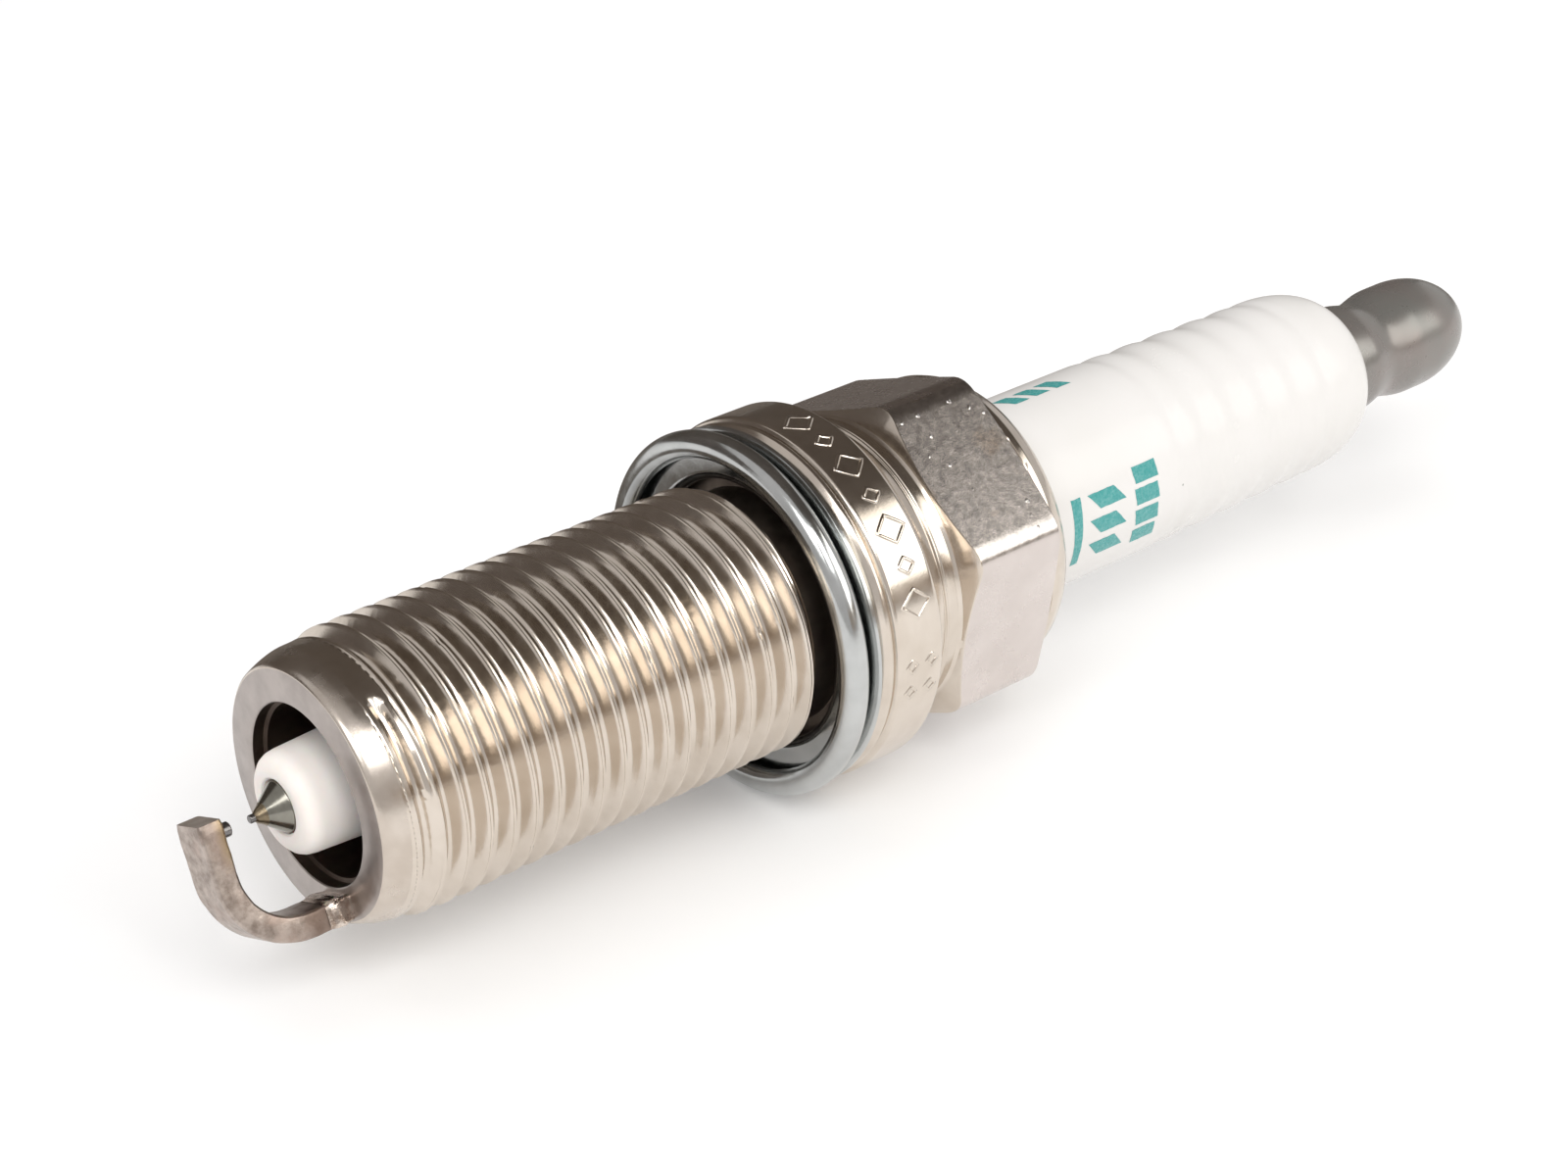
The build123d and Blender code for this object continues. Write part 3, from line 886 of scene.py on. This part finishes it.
def build_strap():
    """The bar with slightly uneven faces and a smaller, paler cut end."""
    bm = bmesh.new()
    corner = 0.15
    cut_end_size = 0.94
    outline = bar_outline(strap_thick, strap_wide, corner)
    rings = []
    stations = strap_stations()
    for index, (x, away, a) in enumerate(stations):
        outward = Vector((-math.sin(math.radians(a)), 0, 0)) + down * math.cos(math.radians(a))
        middle = Vector((x, 0, 0)) + down * away
        here = []
        for u, v in outline:
            shrink = cut_end_size if index == len(stations) - 1 else 1.0
            p = middle + outward * u * shrink + side * v * shrink
            lump = noise.noise(p * 1.3) * 0.035 + noise.noise(p * 4.0) * 0.010
            p += (outward * (1 if u > 0 else -1) + side * (1 if v > 0 else -1)) * lump * 0.7
            here.append(bm.verts.new(p * MM))
        rings.append(here)
    for a, b in zip(rings, rings[1:]):
        skin(bm, a, b)
    bm.faces.new(rings[0])
    bm.faces.new(list(reversed(rings[-1]))).material_index = 1
    return finish_mesh("ground_strap", bm, "plug", [strap_metal, cut_metal], 35)


strap = build_strap()
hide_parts("ground_electrode")


def build_foot():
    """Melted foot of the bar with its spatter, a lumpy swelling that joins bar and shell."""
    bm = bmesh.new()
    outline = bar_outline(strap_thick + 0.04, strap_wide + 0.06, 0.25, 6)
    rings = []
    steps = 14
    for i in range(steps + 1):
        x = foot_from - 0.05 + (foot_to - foot_from + 0.07) * i / steps
        swell = 1 + 0.10 * math.sin(math.pi * i / steps) ** 2
        here = []
        for u, v in outline:
            p = Vector((x, 0, 0)) + down * (strap_centre_r + u * swell) + side * v * swell
            lump = abs(noise.noise(p * 2.6)) * 0.20 + noise.noise(p * 7.0) * 0.05 - 0.03
            fade = math.sin(math.pi * i / steps)
            p += (down * u + side * v).normalized() * lump * fade
            here.append(bm.verts.new(p * MM))
        rings.append(here)
    for a, b in zip(rings, rings[1:]):
        skin(bm, a, b)
    return finish_mesh("strap_foot", bm, "plug", [spatter], 60)


foot = build_foot()
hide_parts("ground_electrode_weld")


# ------------------------------------------------------------------ marks
def raised_outline(bm, path, width, lift, at_x, at_turn, r):
    """A raised closed line that follows path, points of (x, arc) in mm, laid on the collar."""
    sunk = -0.02  # the line's edges lie a little inside the collar
    rings = []
    for i, here in enumerate(path):
        before = path[i - 1]
        after = path[(i + 1) % len(path)]
        along = Vector((after[0] - before[0], after[1] - before[1])).normalized()
        across = Vector((-along[1], along[0]))
        made = []
        for offset, rise in ((-0.5, sunk), (-0.25, lift), (0.25, lift), (0.5, sunk)):
            x = at_x + here[0] + across[0] * width * offset
            arc_at = here[1] + across[1] * width * offset
            made.append(bm.verts.new(place(x, at_turn + math.degrees(arc_at / r), r + rise)))
        rings.append(made)
    for a, b in zip(rings, rings[1:] + rings[:1]):
        for k in range(3):
            bm.faces.new([a[k], a[k + 1], b[k + 1], b[k]])


def diamond(size_x, size_arc, steps=5):
    """Corners of a diamond and points between them, as (x, arc) from its middle."""
    corners = [Vector((size_x, 0)), Vector((0, size_arc)), Vector((-size_x, 0)), Vector((0, -size_arc))]
    return [
        tuple(here.lerp(ahead, k / steps))
        for here, ahead in zip(corners, corners[1:] + corners[:1])
        for k in range(steps)
    ]


def build_collar_marks():
    """A plain row of diamonds round the collar, in two sizes, and four small ones, with no meaning."""
    bm = bmesh.new()
    middle = 2.2
    row_from, row_step, row_count = 88, 11.5, 7
    large, medium, small = 0.86, 0.50, 0.34
    line_width, line_lift = 0.24, 0.06
    thin_width, thin_lift = 0.20, 0.05
    for i in range(row_count):
        size = large if i % 2 == 0 else medium
        turn = row_from - row_step * i
        raised_outline(bm, diamond(size, size * 0.85), line_width, line_lift, middle, turn, collar_r)
    for turn in (0, -9):
        for shift in (-0.62, 0.62):
            raised_outline(bm, diamond(small, small), thin_width, thin_lift, middle + shift, turn, collar_r)
    return finish_mesh("collar_marks", bm, "plug", [nickel], 60)


build_collar_marks()


def print_patch(bm, x_from, x_to, turn_from, turn_to, slant=0.0, taper=1.0):
    """A patch of print on the insulator, its edges a little uneven."""
    nx, nt = 8, 14
    ink_thickness = 0.012
    r = barrel_r + ink_thickness
    grid = []
    for i in range(nt + 1):
        t = i / nt
        width = 1 + (taper - 1) * t
        row = []
        for k in range(nx + 1):
            u = k / nx
            middle = (x_from + x_to) / 2
            x = middle + (x_from + (x_to - x_from) * u - middle) * width + slant * (t - 0.5)
            turn = turn_from + (turn_to - turn_from) * t
            rough = Vector((x * 3, turn * 0.3, 1.0))
            if k in (0, nx):
                x += 0.03 * noise.noise(rough)
            if i in (0, nt):
                turn += 0.4 * noise.noise(rough)
            row.append(bm.verts.new(place(x, turn, r)))
        grid.append(row)
    for a, b in zip(grid, grid[1:]):
        for k in range(nx):
            bm.faces.new([a[k], a[k + 1], b[k + 1], b[k]])


def build_print():
    """Plain blocks, lozenges and a bar on the insulator, with no meaning."""
    bm = bmesh.new()
    for i in range(4):
        print_patch(bm, 21.2, 22.9, 26 - 13 * i, 16 - 13 * i, 0.12)
    for i in range(3):
        print_patch(bm, 18.2, 20.1, 21 - 15 * i, 11 - 15 * i, 0.8)
    print_patch(bm, 16.6, 17.3, 22, -20, taper=0.7)
    for i in range(3):
        print_patch(bm, 17.2 + 1.5 * i, 18.2 + 1.5 * i, 104, 92, 0.7)
    return finish_mesh("insulator_print", bm, "plug", [ink], 60)


build_print()

# ------------------------------------------------------------------ sealed inside
# these pieces keep their CAD shape
inside = {
    "upper_glass_seal": powder("fused_seal", (0.36, 0.30, 0.25), (0.20, 0.17, 0.15)),
    "lower_glass_seal": powder("fused_seal_lower", (0.36, 0.30, 0.25), (0.20, 0.17, 0.15)),
    "resistor": powder("resistor_powder", (0.17, 0.165, 0.16), (0.08, 0.08, 0.08)),
    "electrode_copper_core": copper,
    "seat_packing": bare_steel,
    "lower_wire_ring": bare_steel,
    "upper_wire_ring": bare_steel,
    "talc_filling": powder("pressed_talc", (0.86, 0.85, 0.81), (0.74, 0.72, 0.68)),
}
for node, material in inside.items():
    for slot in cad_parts[node].material_slots:
        slot.material = material


# ------------------------------------------------------------------ stage, light and camera
def floor_material():
    """Almost white, lit a little from itself."""
    n = Nodes("pale_floor")
    n.link(n.mix(n.noise(3, 3), (0.81, 0.81, 0.81), (0.83, 0.83, 0.83)), n.shader.inputs["Base Color"])
    n.shader.inputs["Roughness"].default_value = 0.9
    n.shader.inputs["Emission Color"].default_value = (1, 1, 1, 1)
    n.shader.inputs["Emission Strength"].default_value = 0.16
    return n.material


def card(name, corners, material):
    """A flat four-cornered card that isn't part of the object."""
    mesh = bpy.data.meshes.new(name)
    mesh.from_pydata(corners, [], [(0, 1, 2, 3)])
    mesh.materials.append(material)
    made = bpy.data.objects.new(name, mesh)
    bpy.context.scene.collection.objects.link(made)
    return made


def reflected_card(name, corners, material):
    """A card that shows in reflections only."""
    made = card(name, corners, material)
    made.visible_camera = False
    made.visible_diffuse = False
    made.visible_shadow = False


def level_corners(x_from, x_to, y_from, y_to, z):
    """Corners of a level rectangle, in metres."""
    return [(x_from, y_from, z), (x_to, y_from, z), (x_to, y_to, z), (x_from, y_to, z)]


floor_z = cad_low.z
floor_half = 4.0
card("floor", level_corners(-floor_half, floor_half, -floor_half, floor_half, floor_z), floor_material())


def flag_cloth(name, pale, deep):
    """Matte cloth of a studio flag."""
    n = Nodes(name)
    n.link(n.mix(n.noise(2), pale, deep), n.shader.inputs["Base Color"])
    n.shader.inputs["Roughness"].default_value = 0.9
    return n.material


flag_distance = 0.8  # metres from the centre line
flag_left, flag_middle, flag_right = -1.1, -0.15, 1.3  # x, metres


def flags(name, turns_of_flag, material, from_x, to_x):
    """A bent flag round the plug that shades its reflections only."""
    for first, second in zip(turns_of_flag, turns_of_flag[1:]):
        edges = []
        for turn, x in ((first, from_x), (first, to_x), (second, to_x), (second, from_x)):
            a = math.radians(turn)
            z = max(floor_z + 0.002, math.sin(a) * flag_distance)
            edges.append((x, -math.cos(a) * flag_distance, z))
        reflected_card(f"flag_{name}_{first}", edges, material)


dark_cloth = flag_cloth("dark_cloth", (0.095, 0.08, 0.068), (0.125, 0.105, 0.09))
tan_cloth = flag_cloth("tan_cloth", (0.40, 0.33, 0.27), (0.44, 0.37, 0.30))
back_cloth = flag_cloth("back_cloth", (0.12, 0.10, 0.09), (0.15, 0.13, 0.115))
ground_cloth = flag_cloth("ground_cloth", (0.13, 0.11, 0.095), (0.16, 0.14, 0.12))
flags("upper", (56, 80, 105, 130, 155, 180), dark_cloth, flag_middle, flag_right)
flags("lower", (4, 15), tan_cloth, flag_middle, flag_right)
flags("back", (140, 160, 180), back_cloth, flag_left, flag_middle)
reflected_card("flag_ground", level_corners(-0.02, 2.0, 0.016, flag_distance, floor_z + 0.001), ground_cloth)


def soft_light(name, azimuth, elevation, distance, width, height, watts, colour=(1, 1, 1)):
    """A softbox that looks at the origin; azimuth 0 is in front (-Y), 90 to the right (+X)."""
    a, e = math.radians(azimuth), math.radians(elevation)
    direction = Vector((math.sin(a) * math.cos(e), -math.cos(a) * math.cos(e), math.sin(e)))
    lamp = bpy.data.lights.new(name, "AREA")
    lamp.shape = "RECTANGLE"
    lamp.size, lamp.size_y = width, height
    lamp.energy = watts
    lamp.color = colour
    made = bpy.data.objects.new(name, lamp)
    made.location = direction * distance
    made.rotation_euler = direction.to_track_quat("Z", "Y").to_euler()
    bpy.context.scene.collection.objects.link(made)
    return made


near, high_up = 0.65, 0.9
small_box, large_box = 0.26, 0.8
soft_light("key_softbox", 38, 30, near, width=0.46, height=0.40, watts=1.35, colour=(1.0, 0.98, 0.93))
soft_light("front_softbox", -20, 49, near, small_box, small_box, watts=1.05)
soft_light("left_softbox", -65, 44, near, small_box, small_box, watts=0.85)
overhead = soft_light("overhead_softbox", 185, 72, high_up, large_box, large_box, watts=1.3)
overhead.visible_glossy = False  # it only fills the matte surfaces

world = bpy.data.worlds.new("studio")
bpy.context.scene.world = world
world.use_nodes = True
background = world.node_tree.nodes["Background"]
background.inputs["Color"].default_value = (0.95, 0.93, 0.92, 1)
background.inputs["Strength"].default_value = 0.66

# the camera looks over the firing end, close enough for a strong perspective
camera_place = (-0.08642, -0.10247, 0.07637)
camera_tilt, camera_heading = 60.619, -40.652
camera_data = bpy.data.cameras.new("camera")
camera_data.sensor_width = 36
camera_data.lens = 71.77
camera_data.clip_start = 0.005
camera_data.clip_end = 20
camera = bpy.data.objects.new("camera", camera_data)
camera.location = camera_place
camera.rotation_euler = (math.radians(camera_tilt), 0, math.radians(camera_heading))
bpy.context.scene.collection.objects.link(camera)
bpy.context.scene.camera = camera
bpy.context.scene.view_settings.view_transform = "Standard"
